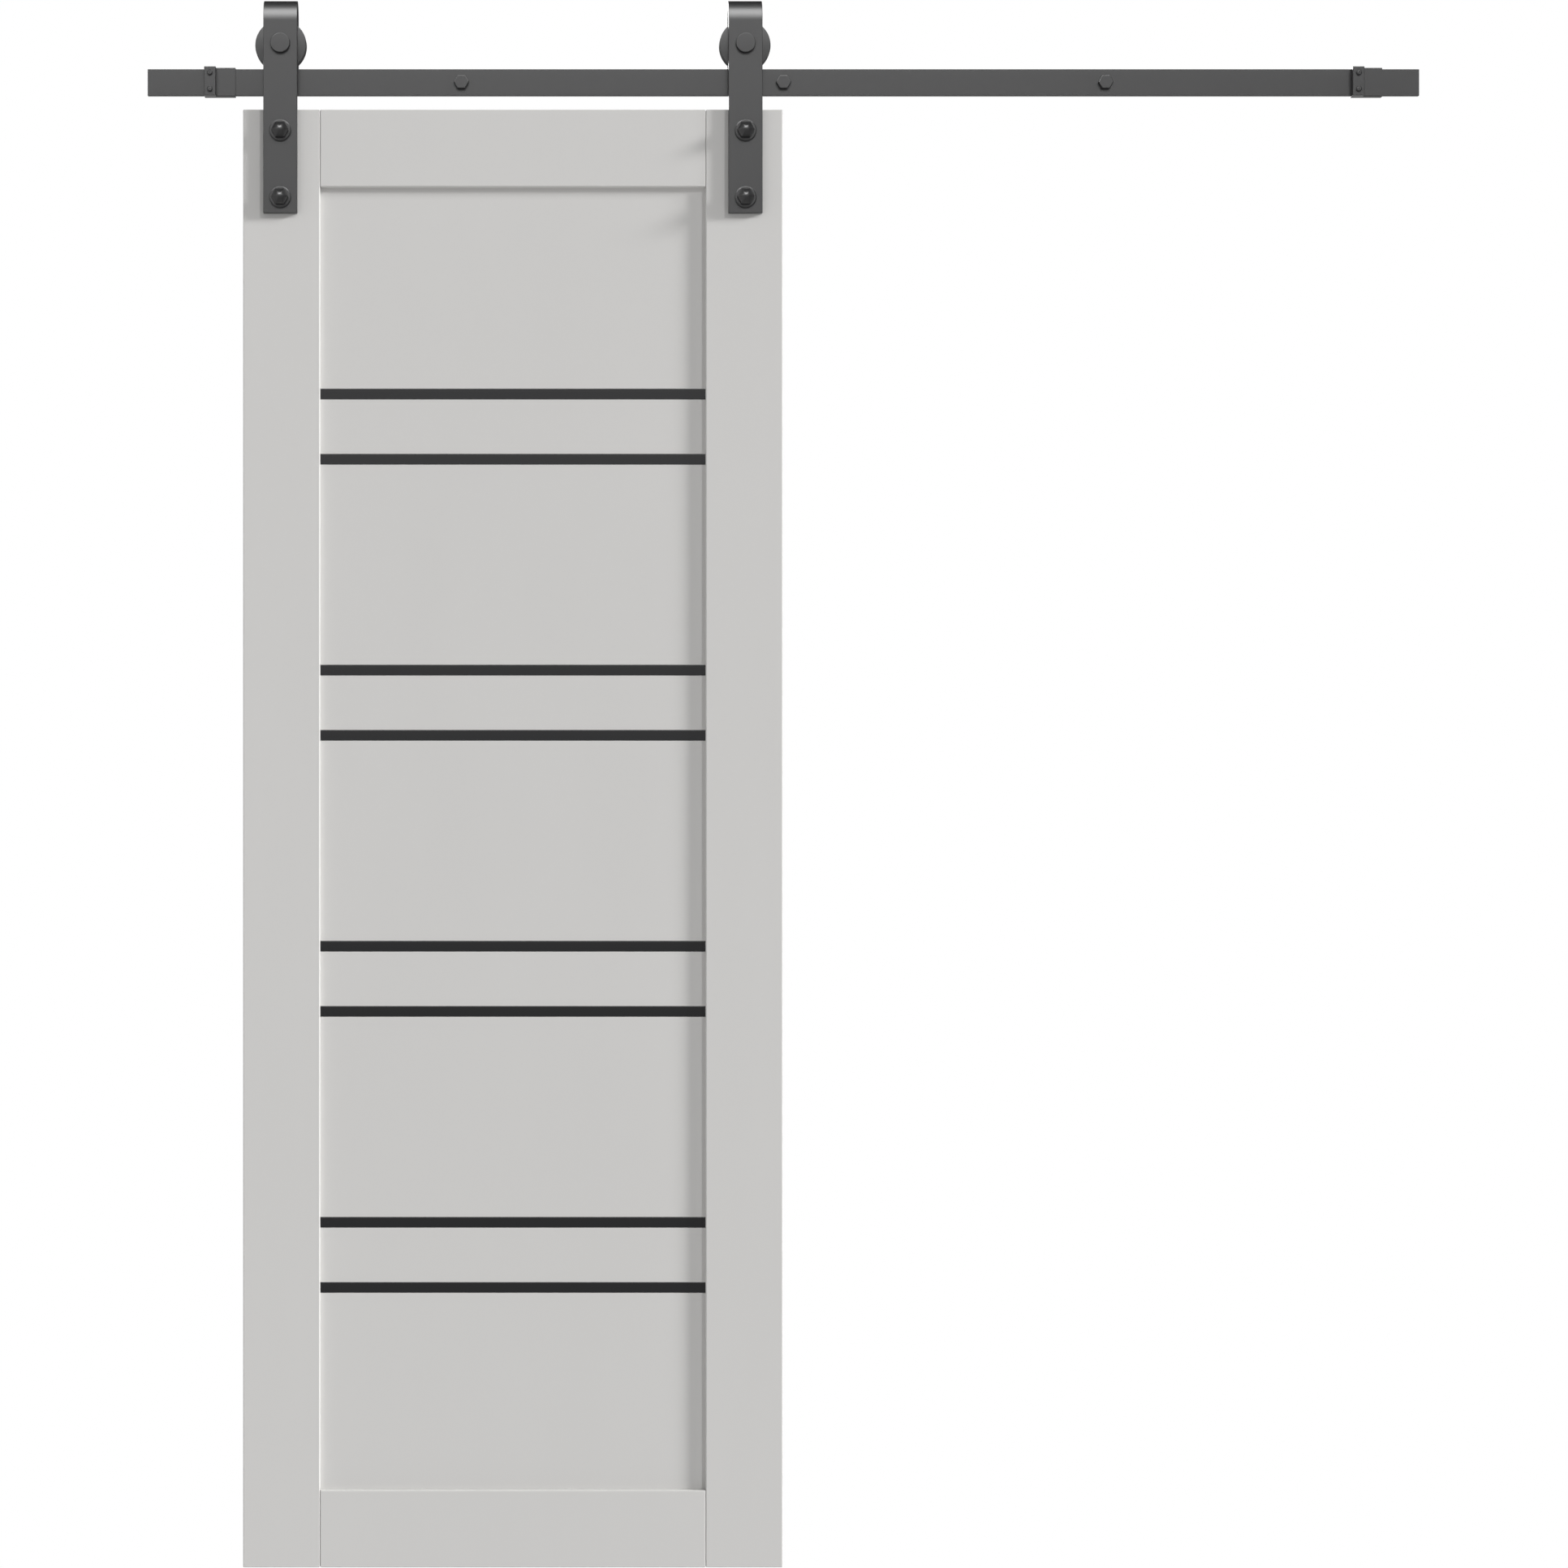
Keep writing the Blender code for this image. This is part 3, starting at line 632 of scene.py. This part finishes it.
def axle_nut(side):
    """A hexagon nut with its corners turned down at both ends, drawn from height 0."""
    height = size(f"axle_nut_{side}").y
    angles = [math.tau * step / AXLE_NUT_STEPS for step in range(AXLE_NUT_STEPS)]
    hexagon = [AXLE_NUT_FLATS / 2 * soft_hexagon(angle, 60) for angle in angles]
    turned_down = [AXLE_NUT_SLOPE * (reach - AXLE_NUT_RIM) for reach in hexagon]

    def ring(radii, heights):
        return [(r * math.cos(a), r * math.sin(a), h) for a, r, h in zip(angles, radii, heights)]

    def circle(radius, level):
        return ring([radius] * AXLE_NUT_STEPS, [level] * AXLE_NUT_STEPS)

    rings = [
        circle(AXLE_RADIUS, AXLE_NUT_SINK),
        circle(AXLE_RADIUS + AXLE_NUT_SINK, 0),
        circle(AXLE_NUT_RIM, 0),
        ring(hexagon, turned_down),
        ring(hexagon, [height - drop for drop in turned_down]),
        circle(AXLE_NUT_RIM, height),
        circle(AXLE_RADIUS + AXLE_NUT_SINK, height),
        circle(AXLE_RADIUS, height - AXLE_NUT_SINK),
    ]
    shape = bmesh.new()
    loft(shape, rings + rings[:1], caps=False)
    return new_mesh(shape, "axle_nut")


def wheel(side):
    """A wheel with a coned flange each side of its groove, drawn about its middle."""
    radius, half = size(f"wheel_{side}").x / 2, size(f"wheel_{side}").y / 2
    face = [
        (BEARING_SEAT, half, 0.0004),
        (WHEEL_HUB, half, 0.0006),
        (WHEEL_HUB + 0.0008, half - 0.0005, 0.0003),
        (radius, half - 0.0016, 0.0013),
        (radius, GROOVE_HALF + 0.0009, 0.0006),
        (TREAD_RADIUS, GROOVE_HALF, 0.0004),
    ]
    mirrored = [(u, -v, rounding) for u, v, rounding in reversed(face)]
    return turned("wheel", face + mirrored, closed=True, steps=128)


def bearing(side):
    """A shielded ball bearing: two races and a pressed shield on each side."""
    radius, half = size(f"wheel_bearing_{side}").x / 2, size(f"wheel_bearing_{side}").y / 2
    shape = bmesh.new()
    for inner, outer in ((BEARING_BORE, INNER_RACE), (OUTER_RACE, radius)):
        lathe(shape, tube(inner, outer, -half, half, 0.0003, 0.0003), closed=True)
    for sign in (-1, 1):
        face = sign * (half - SHIELD_SINK)
        back = face - sign * SHIELD_SHEET
        lathe(shape, tube(INNER_RACE - 0.0001, OUTER_RACE + 0.0001, back, face, 0, 0), closed=True)
    return new_mesh(shape, "bearing")


def axle_sleeve(side):
    radius, half = size(f"axle_sleeve_{side}").x / 2, size(f"axle_sleeve_{side}").y / 2
    corners = tube(AXLE_HOLE, radius, -half, half, 0.0003, 0.0004)
    return turned("axle_sleeve", corners, closed=True, steps=64)


def build_hanger(side):
    axle = middle(f"wheel_{side}")
    piece(f"strap_{side}", strap(side), "coated_steel", "door", axle)
    bolt, head_height = axle_bolt(side)
    at = axle.copy()
    at.y = front(f"axle_bolt_{side}") + head_height
    piece(f"axle_bolt_{side}", bolt, "coated_steel", "door", at, INTO_ROOM)
    at = middle(f"axle_nut_{side}")
    at.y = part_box(f"axle_nut_{side}")[1].y
    piece(f"axle_nut_{side}", axle_nut(side), "zinc_steel", "door", at, INTO_ROOM)
    piece(f"axle_sleeve_{side}", axle_sleeve(side), "zinc_steel", "door", axle, INTO_ROOM)
    piece(f"wheel_{side}", wheel(side), "coated_steel", f"wheel_{side}", axle, INTO_ROOM)
    piece(f"wheel_bearing_{side}", bearing(side), "zinc_steel", f"wheel_{side}", axle, INTO_ROOM)


# Bolts through the door

WASHER_HOLE = 0.0053
WASHER_SLOPE = (0.0016, 0.0007)
DOOR_BOLT_FLATS = 0.0218
DOOR_BOLT_BASE = 0.0055
DOOR_BOLT_SIDES = 96
DOOR_BOLT_RINGS = 20
DOOR_BOLT_FULLNESS = 2.05
DOOR_BOLT_SHOULDER = 0.985
DOOR_BOLT_TIP = 0.004
DOOR_BOLT_FOOT_SHARPNESS = 90
DOOR_BOLT_SHOULDER_SHARPNESS = 80
DOOR_BOLT_DOME_SHARPNESS = (3, 37)
DOOR_BOLT_SHANK = 0.005
NUT_BARREL = 0.0065
NUT_BORE = 0.0053
NUT_FLOOR = -0.003
NUT_SOCKET = 0.0035


def washer():
    """A round washer whose rim slopes down towards the strap."""
    radius, thickness = size("washer_left_upper").x / 2, size("washer_left_upper").y
    slope_in, slope_down = WASHER_SLOPE
    ring = [
        (WASHER_HOLE, thickness, 0.0002),
        (radius - slope_in, thickness, 0.0004),
        (radius, thickness - slope_down, 0.0004),
        (radius, 0, 0.0003),
        (WASHER_HOLE, 0, 0.0002),
    ]
    return turned("washer", ring, closed=True)


def door_bolt_profile(height):
    """(share of the full width, height, sharpness of the corners) from the head's foot to its tip."""
    profile = [
        (1.0, 0.0, DOOR_BOLT_FOOT_SHARPNESS),
        (1.0, DOOR_BOLT_BASE - GAP, DOOR_BOLT_FOOT_SHARPNESS),
        (DOOR_BOLT_SHOULDER, DOOR_BOLT_BASE, DOOR_BOLT_SHOULDER_SHARPNESS),
    ]
    tip, rim = DOOR_BOLT_DOME_SHARPNESS
    for ring in range(1, DOOR_BOLT_RINGS + 1):
        outwards = 1 - ring / DOOR_BOLT_RINGS
        rise = (height - DOOR_BOLT_BASE) * (1 - outwards**DOOR_BOLT_FULLNESS)
        share = max(DOOR_BOLT_SHOULDER * outwards, DOOR_BOLT_TIP)
        profile.append((share, DOOR_BOLT_BASE + rise, tip + (rim - tip) * outwards**2))
    return profile


def door_bolt():
    """A six-sided bolt that rounds over to a domed tip, with the underside of its head at height 0."""
    low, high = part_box("door_bolt_left_upper")
    height = front("washer_left_upper") - GAP - low.y
    angles = [math.tau * step / DOOR_BOLT_SIDES for step in range(DOOR_BOLT_SIDES)]
    rings = []
    for share, level, sharpness in door_bolt_profile(height):
        reaches = [share * DOOR_BOLT_FLATS / 2 * soft_hexagon(angle, sharpness) for angle in angles]
        rings.append([(r * math.cos(a), r * math.sin(a), level) for a, r in zip(angles, reaches)])
    shape = bmesh.new()
    loft(shape, rings)
    length = high.y - low.y - height
    lathe(shape, shank(DOOR_BOLT_SHANK, -length, SHANK_ROOT, tip=0.0006))
    return new_mesh(shape, "door_bolt"), height


def sleeve_nut():
    """A sleeve nut with a hexagon socket, drawn with the underside of its head at height 0."""
    low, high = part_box("sleeve_nut_left_upper")
    radius = (high.x - low.x) / 2
    head = high.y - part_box("stile_left")[1].y - GAP
    barrel = high.y - low.y - head
    outline = [
        (0, head, 0),
        (radius, head, 0.0008),
        (radius, 0, 0.0002),
        (NUT_BARREL, 0, 0),
        (NUT_BARREL, -barrel, 0.0004),
        (NUT_BORE, -barrel, 0),
        (NUT_BORE, NUT_FLOOR, 0),
        (0, NUT_FLOOR, 0),
    ]
    socket = prism("socket", regular_outline(NUT_SOCKET, 6, 0), -0.001, 2 * head)
    nut = turned("sleeve_nut", outline, steps=64)
    return with_tools(nut, "DIFFERENCE", [socket]), head


def build_door_bolts():
    ring = washer()
    bolt, bolt_height = door_bolt()
    nut, nut_head = sleeve_nut()
    for side in SIDES:
        for level in LEVELS:
            name = f"washer_{side}_{level}"
            at = middle(name)
            at.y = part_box(name)[1].y
            piece(name, ring, "coated_steel", "door", at, INTO_ROOM)
            name = f"door_bolt_{side}_{level}"
            at.y = front(name) + bolt_height
            piece(name, bolt, "coated_steel", "door", at, INTO_ROOM)
            name = f"sleeve_nut_{side}_{level}"
            at.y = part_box(name)[1].y - nut_head
            piece(name, nut, "coated_steel", "door", at, INTO_WALL)


# Door leaf

MEMBER_EDGE = 0.0004
BOARD_EDGE = 0.0006
STRIP_EDGE = 0.0003
BOARDS = 9
STRIPS = 8


def build_leaf():
    for name in ("stile_left", "stile_right", "cross_rail_top", "cross_rail_bottom"):
        refined(name, "door_laminate", MEMBER_EDGE)
    for number in range(1, BOARDS + 1):
        refined(f"panel_board_{number}", "door_laminate", BOARD_EDGE)
    for number in range(1, STRIPS + 1):
        refined(f"inlay_strip_{number}", "black_glass", STRIP_EDGE)


# Stage, light and camera

FLOOR_GAP = 0.010
WALL_GAP = 0.0005
STAGE_REACH = 8.0

# The studio is given by the direction looked in. Directions are unit vectors, elevations are degrees.
# A fade is the part of the direction where something is absent, then where it is full.
FRONT_FADE = (0.25, -0.45)
RIGHT_FADE = (1.0, 0.35)
LEFT_FADE = (-0.05, -0.8)
BELOW_FADE = (0.2, -0.2)
BEHIND_FADE = (0.0, 0.6)
LEFT_TONE = 0.12
BEHIND_TONE = 0.11
FLOOR_BEHIND_TONE = 0.5

# The softbox: the elevations where it starts, is full, starts to fade and ends, and its fade to the sides
SOFTBOX_ELEVATIONS = (22, 35, 45, 58)
SOFTBOX_SIDE_FADE = (0.58, 0.26)
SOFTBOX_RADIANCE = 5.7

# Tones of the studio wall by elevation, and of the soft room by how far backwards one looks
WALL_TONES = (
    (-60, 0.12), (-8, 0.12), (-3, 0.14), (2, 0.245),
    (7, 0.345), (15, 0.38), (32, 0.10), (85, 0.04),
)
ROOM_TONES = ((-1.0, 0.27), (0.0, 0.72), (0.3, 0.12))
ROOM_LEAN_X = -0.36
ROOM_LEAN_Z = -0.5
WHITE = (1, 1, 1, 1)
WHITE_STRENGTH = 1.1

# Each distant light: the way towards it, its strength and how wide it looks in degrees
KEY_LIGHT = ((0.911, -0.250, 0.328), 3.25, 12)
UPPER_FRONT_LIGHT = ((0.481, -0.687, 0.543), 0.57, 2.5)
BEHIND_LIGHT = ((-0.35, 0.90, 0.30), 1.6, 30)

VIEW_DISTANCE = 4.2
VIEW_WIDTH = 2.2906
VIEW_HEIGHT = -1.0688
VIEW_SHIFT = (0.1729, 0.0176)
SENSOR = 36.0


def one_sided_white(name):
    """Plain white from the front of a sheet and clear from its back."""
    material = bpy.data.materials.new(name)
    material.use_nodes = True
    tree = material.node_tree
    tree.nodes.clear()
    side = tree.nodes.new("ShaderNodeNewGeometry")
    paper = tree.nodes.new("ShaderNodeEmission")
    clear = tree.nodes.new("ShaderNodeBsdfTransparent")
    choose = tree.nodes.new("ShaderNodeMixShader")
    out = tree.nodes.new("ShaderNodeOutputMaterial")
    tree.links.new(side.outputs["Backfacing"], choose.inputs["Fac"])
    tree.links.new(paper.outputs["Emission"], choose.inputs[1])
    tree.links.new(clear.outputs["BSDF"], choose.inputs[2])
    tree.links.new(choose.outputs["Shader"], out.inputs["Surface"])
    return material


def white_sheet(name, place, turn):
    """A big white square that only the camera sees, and only from its front."""
    shape = bmesh.new()
    bmesh.ops.create_grid(shape, x_segments=1, y_segments=1, size=STAGE_REACH)
    mesh = bpy.data.meshes.new(name)
    shape.to_mesh(mesh)
    shape.free()
    mesh.materials.append(one_sided_white(name))
    sheet = bpy.data.objects.new(name, mesh)
    bpy.context.scene.collection.objects.link(sheet)
    sheet.matrix_world = Matrix.Translation(place) @ turn
    sheet.visible_diffuse = False
    sheet.visible_glossy = False
    sheet.visible_transmission = False
    sheet.visible_shadow = False
    sheet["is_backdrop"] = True


def build_floor_and_wall():
    """The wall is the plane that the rail is fixed to, so it hides the bolts' ends from the front."""
    low, high = CAD_BOX
    middle_x = (low.x + high.x) / 2
    white_sheet("floor", (middle_x, 0, low.z - FLOOR_GAP), Matrix.Identity(4))
    white_sheet("wall", (middle_x, WALL_GAP, low.z - FLOOR_GAP + STAGE_REACH), INTO_ROOM)


def sun(name, towards, strength, spread_degrees, in_reflections):
    """A distant light. The vector points from the object to the light."""
    light = bpy.data.lights.new(name, "SUN")
    light.energy = strength
    light.angle = math.radians(spread_degrees)
    obj = bpy.data.objects.new(name, light)
    obj.visible_glossy = in_reflections
    obj.rotation_euler = Vector(towards).to_track_quat("Z", "Y").to_euler()
    bpy.context.scene.collection.objects.link(obj)


def math_node(tree, operation, first, second):
    """One sum or product of two links or numbers."""
    made = tree.nodes.new("ShaderNodeMath")
    made.operation = operation
    for socket, value in zip(made.inputs, (first, second)):
        if isinstance(value, (int, float)):
            socket.default_value = value
        else:
            tree.links.new(value, socket)
    return made.outputs["Value"]


def times(tree, first, second):
    return math_node(tree, "MULTIPLY", first, second)


def plus(tree, first, second):
    return math_node(tree, "ADD", first, second)


def smooth_step(tree, source, start, end):
    """Runs smoothly from 0 at the start to 1 at the end."""
    step = node(tree, "ShaderNodeMapRange", From_Min=start, From_Max=end)
    step.interpolation_type = "SMOOTHSTEP"
    tree.links.new(source, step.inputs["Value"])
    return step.outputs["Result"]


def value_ramp(tree, source, stops):
    """Tones by a value between -1 and 1."""
    place = node(tree, "ShaderNodeMapRange", From_Min=-1.0, From_Max=1.0)
    tree.links.new(source, place.inputs["Value"])
    ramp = tree.nodes.new("ShaderNodeValToRGB")
    elements = ramp.color_ramp.elements
    for _ in stops[2:]:
        elements.new(0.5)
    for element, (value, tone) in zip(elements, stops):
        element.position = (value + 1) / 2
        element.color = (tone, tone, tone, 1)
    tree.links.new(place.outputs["Result"], ramp.inputs["Fac"])
    return ramp.outputs["Color"]


def softbox(tree, x, z):
    """A big soft light with blurred edges, high in front of the object."""
    rise, top, fall, end = (math.sin(math.radians(angle)) for angle in SOFTBOX_ELEVATIONS)
    band = times(tree, smooth_step(tree, z, rise, top), smooth_step(tree, z, end, fall))
    sideways = math_node(tree, "ABSOLUTE", x, 0)
    lit = times(tree, band, smooth_step(tree, sideways, *SOFTBOX_SIDE_FADE))
    return times(tree, lit, SOFTBOX_RADIANCE)


def studio_wall(tree, x, z):
    """A wall behind the viewer that darkens downwards and fades off to the right."""
    tones = [(math.sin(math.radians(elevation)), tone) for elevation, tone in WALL_TONES]
    return times(tree, value_ramp(tree, z, tones), smooth_step(tree, x, *RIGHT_FADE))


def studio(tree, x, y, z):
    """What polished surfaces mirror."""
    ahead = plus(tree, softbox(tree, x, z), studio_wall(tree, x, z))
    in_front = times(tree, ahead, smooth_step(tree, y, *FRONT_FADE))
    side_wall = times(tree, smooth_step(tree, x, *LEFT_FADE), LEFT_TONE)
    below = smooth_step(tree, z, *BELOW_FADE)
    behind = smooth_step(tree, y, *BEHIND_FADE)
    floor_behind = times(tree, times(tree, below, behind), FLOOR_BEHIND_TONE)
    total = BEHIND_TONE
    for light in (in_front, side_wall, floor_behind):
        total = plus(tree, light, total)
    return total


def soft_room(tree, x, y, z):
    """What lights matt surfaces: pale surroundings, a little stronger from the left and from below."""
    lean = plus(tree, times(tree, x, ROOM_LEAN_X), times(tree, z, ROOM_LEAN_Z))
    return times(tree, value_ramp(tree, y, ROOM_TONES), plus(tree, 1, lean))


def build_world():
    """Soft studio surroundings. The camera itself sees white."""
    world = bpy.data.worlds.new("studio")
    world.use_nodes = True
    bpy.context.scene.world = world
    tree = world.node_tree
    tree.nodes.clear()
    place = node(tree, "ShaderNodeTexCoord").outputs["Generated"]
    split = node(tree, "ShaderNodeSeparateXYZ")
    around = node(tree, "ShaderNodeBackground", Color=WHITE)
    white = node(tree, "ShaderNodeBackground", Color=WHITE, Strength=WHITE_STRENGTH)
    ray = node(tree, "ShaderNodeLightPath")
    choose = tree.nodes.new("ShaderNodeMixShader")
    out = tree.nodes.new("ShaderNodeOutputWorld")
    link = tree.links.new
    link(place, split.inputs["Vector"])
    axes = [split.outputs[axis] for axis in "XYZ"]
    mirrored = ray.outputs["Is Glossy Ray"]
    not_mirrored = math_node(tree, "SUBTRACT", 1, mirrored)
    polished = times(tree, studio(tree, *axes), mirrored)
    matt = times(tree, soft_room(tree, *axes), not_mirrored)
    link(plus(tree, polished, matt), around.inputs["Strength"])
    link(ray.outputs["Is Camera Ray"], choose.inputs["Fac"])
    link(around.outputs["Background"], choose.inputs[1])
    link(white.outputs["Background"], choose.inputs[2])
    link(choose.outputs["Shader"], out.inputs["Surface"])


def build_lights():
    sun("key", *KEY_LIGHT, in_reflections=False)
    sun("upper_front", *UPPER_FRONT_LIGHT, in_reflections=False)
    sun("behind", *BEHIND_LIGHT, in_reflections=True)


def build_camera():
    camera = bpy.data.cameras.new("camera")
    camera.sensor_width = SENSOR
    camera.lens = SENSOR * VIEW_DISTANCE / VIEW_WIDTH
    camera.shift_x, camera.shift_y = VIEW_SHIFT
    camera.clip_start = 0.05
    obj = bpy.data.objects.new("camera", camera)
    obj.location = (middle("cross_rail_top").x, front("strap_left") - VIEW_DISTANCE, VIEW_HEIGHT)
    obj.rotation_euler = (math.radians(90), 0, 0)
    bpy.context.scene.collection.objects.link(obj)
    bpy.context.scene.camera = obj
    bpy.context.scene.view_settings.view_transform = "Standard"


build_rail()
build_fixings()
build_stops()
for hanger in SIDES:
    build_hanger(hanger)
build_door_bolts()
build_leaf()
build_floor_and_wall()
build_world()
build_lights()
build_camera()

VISUAL_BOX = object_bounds()
boxes = {"cad": CAD_BOX, "visual": VISUAL_BOX}
{name: [list(corner) for corner in box] for name, box in boxes.items()}
